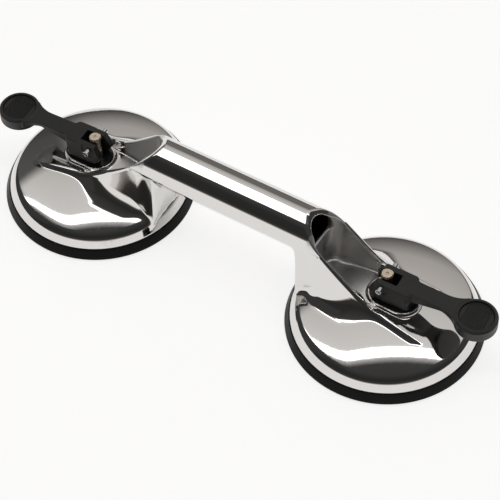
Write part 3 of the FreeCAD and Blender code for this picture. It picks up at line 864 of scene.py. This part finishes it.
# The studio, as directions round the object: "pitch" goes from the horizon on the camera's side (0)
# over the zenith (90) to the horizon behind (180), "side" is how far a direction lies to the right.
STUDIO_AZIMUTH = CAMERA_AZIMUTH
PITCH_STOPS = [  # pitch in degrees, brightness, warmth
    (0.0, 0.62, 0.06), (9.0, 0.045, 0.05), (34.0, 0.025, 0.0), (81.0, 0.055, 0.0),
    (86.0, 0.80, 0.01), (125.0, 0.60, 0.03), (160.0, 0.44, 0.04), (180.0, 0.05, 0.06)]
STRIP_PITCH, STRIP_HALF, STRIP_SOFT = 88.0, 2.5, 1.0
STRIP_POWER = 2.6
PANEL_LEFT, PANEL_RIGHT = -44.0, 47.0    # the bright areas' sides, and their soft edges
PANEL_LEFT_FADE, PANEL_RIGHT_FADE = (-3.0, 1.0), (3.0, -3.0)
OVERHEAD_START, OVERHEAD_FULL = 60.0, 78.0   # pitches between which the panel's sides begin to count
CORNER_START, CORNER_CURVE, CORNER_LOW = -18.0, 0.045, 40.0   # how the areas bend up on the left
DARK = 0.045
PATCH_SIDE, PATCH_PITCH = -15.0, 136.0   # a dark stand behind, on the left
PATCH_SOFT = 7.0
PATCH_SHARE = 0.9


def make_floor():
    mesh = bpy.data.meshes.new("floor")
    corners = [(-FLOOR_HALF, -FLOOR_HALF, 0), (FLOOR_HALF, -FLOOR_HALF, 0),
               (FLOOR_HALF, FLOOR_HALF, 0), (-FLOOR_HALF, FLOOR_HALF, 0)]
    mesh.from_pydata(corners, [], [(0, 1, 2, 3)])
    floor = bpy.data.objects.new("floor", mesh)
    bpy.context.scene.collection.objects.link(floor)
    n = Nodes("pale_floor")
    n.set(Base_Color=grey(0.50, 0.01), Roughness=0.9, Specular_IOR_Level=0.0,
          Emission_Color=grey(1.0, 0.0), Emission_Strength=FLOOR_GLOW)
    mesh.materials.append(n.material)


def make_world():
    world = bpy.data.worlds.new("studio")
    bpy.context.scene.world = world
    world.use_nodes = True
    tree = world.node_tree
    links = tree.links

    def node(kind, *values, **props):
        made = tree.nodes.new(kind)
        for key, value in props.items():
            setattr(made, key, value)
        for socket, value in zip(made.inputs, values):
            if isinstance(value, bpy.types.NodeSocket):
                links.new(value, socket)
            else:
                socket.default_value = value
        return made

    def sums(kind, *values):
        return node("ShaderNodeMath", *values, operation=kind).outputs[0]

    def fade(value, start, end):
        made = node("ShaderNodeMapRange", value, start, end, 0.0, 1.0, interpolation_type="SMOOTHSTEP")
        return made.outputs[0]

    direction = node("ShaderNodeTexCoord").outputs["Generated"]
    turned = node("ShaderNodeVectorRotate", direction, rotation_type="Z_AXIS")
    turned.inputs["Angle"].default_value = -math.radians(STUDIO_AZIMUTH)
    axes = node("ShaderNodeSeparateXYZ", turned.outputs[0]).outputs
    towards = sums("MULTIPLY", axes[1], -1.0)
    pitch = sums("DEGREES", sums("ARCTAN2", axes[2], towards))
    side = sums("DEGREES", sums("ARCSINE", axes[0]))
    over = sums("MAXIMUM", sums("SUBTRACT", CORNER_START, side), 0.0)
    shift = sums("MULTIPLY", sums("MULTIPLY", over, over), CORNER_CURVE)
    level = sums("MAXIMUM", sums("SUBTRACT", pitch, shift), sums("MINIMUM", pitch, CORNER_LOW))
    ramp = node("ShaderNodeValToRGB", sums("DIVIDE", level, 180.0))
    stops = ramp.color_ramp.elements
    while len(stops) < len(PITCH_STOPS):
        stops.new(0.5)
    for stop, (at, _, _) in zip(stops, PITCH_STOPS):
        stop.position = at / 180.0
    for stop, (_, value, warm) in zip(stops, PITCH_STOPS):
        stop.color = grey(value, warm)
    inside = sums("MULTIPLY", fade(side, *(PANEL_LEFT + shift_by for shift_by in PANEL_LEFT_FADE)),
                  fade(side, *(PANEL_RIGHT + shift_by for shift_by in PANEL_RIGHT_FADE)))
    strip_low, strip_high = STRIP_PITCH - STRIP_HALF, STRIP_PITCH + STRIP_HALF
    strip = sums("MULTIPLY", fade(level, strip_low - STRIP_SOFT, strip_low),
                 fade(level, strip_high + STRIP_SOFT, strip_high))
    overhead = fade(pitch, OVERHEAD_START, OVERHEAD_FULL)
    keep = sums("MAXIMUM", inside, sums("SUBTRACT", 1.0, overhead))
    patch = sums("MULTIPLY", fade(side, PATCH_SIDE + PATCH_SOFT, PATCH_SIDE - PATCH_SOFT),
                 fade(pitch, PATCH_PITCH - PATCH_SOFT, PATCH_PITCH + PATCH_SOFT))
    patch = sums("MULTIPLY", patch, PATCH_SHARE)
    keep = sums("MULTIPLY", keep, sums("SUBTRACT", 1.0, patch))
    panel = node("ShaderNodeMix", keep, data_type="RGBA")
    panel.inputs[6].default_value = grey(DARK)
    links.new(ramp.outputs[0], panel.inputs[7])
    glow = sums("MULTIPLY", sums("MULTIPLY", strip, inside), STRIP_POWER)
    total = node("ShaderNodeVectorMath", panel.outputs[2], operation="ADD")
    links.new(glow, total.inputs[1])
    links.new(total.outputs[0], tree.nodes["Background"].inputs[0])
    tree.nodes["Background"].inputs[1].default_value = 1.0


def make_camera():
    azimuth, elevation = math.radians(CAMERA_AZIMUTH), math.radians(CAMERA_ELEVATION)
    roll = math.radians(CAMERA_ROLL)
    target = Vector(CAMERA_TARGET) * MM
    distance = CAMERA_DISTANCE * MM
    back = Vector((math.sin(azimuth) * math.cos(elevation), -math.cos(azimuth) * math.cos(elevation),
                   math.sin(elevation)))
    right = Vector((math.cos(azimuth), math.sin(azimuth), 0.0))
    up = back.cross(right)
    rolled_right = right * math.cos(roll) + up * math.sin(roll)
    rolled_up = up * math.cos(roll) - right * math.sin(roll)
    data = bpy.data.cameras.new("camera")
    data.sensor_width = CAMERA_SENSOR
    data.lens = CAMERA_LENS
    camera = bpy.data.objects.new("camera", data)
    bpy.context.scene.collection.objects.link(camera)
    turn = Matrix((rolled_right, rolled_up, back)).transposed().to_4x4()
    camera.matrix_world = Matrix.Translation(target + back * distance) @ turn
    bpy.context.scene.camera = camera


make_floor()
make_world()
make_camera()
bpy.context.scene.view_settings.view_transform = "Standard"

bpy.context.view_layer.update()
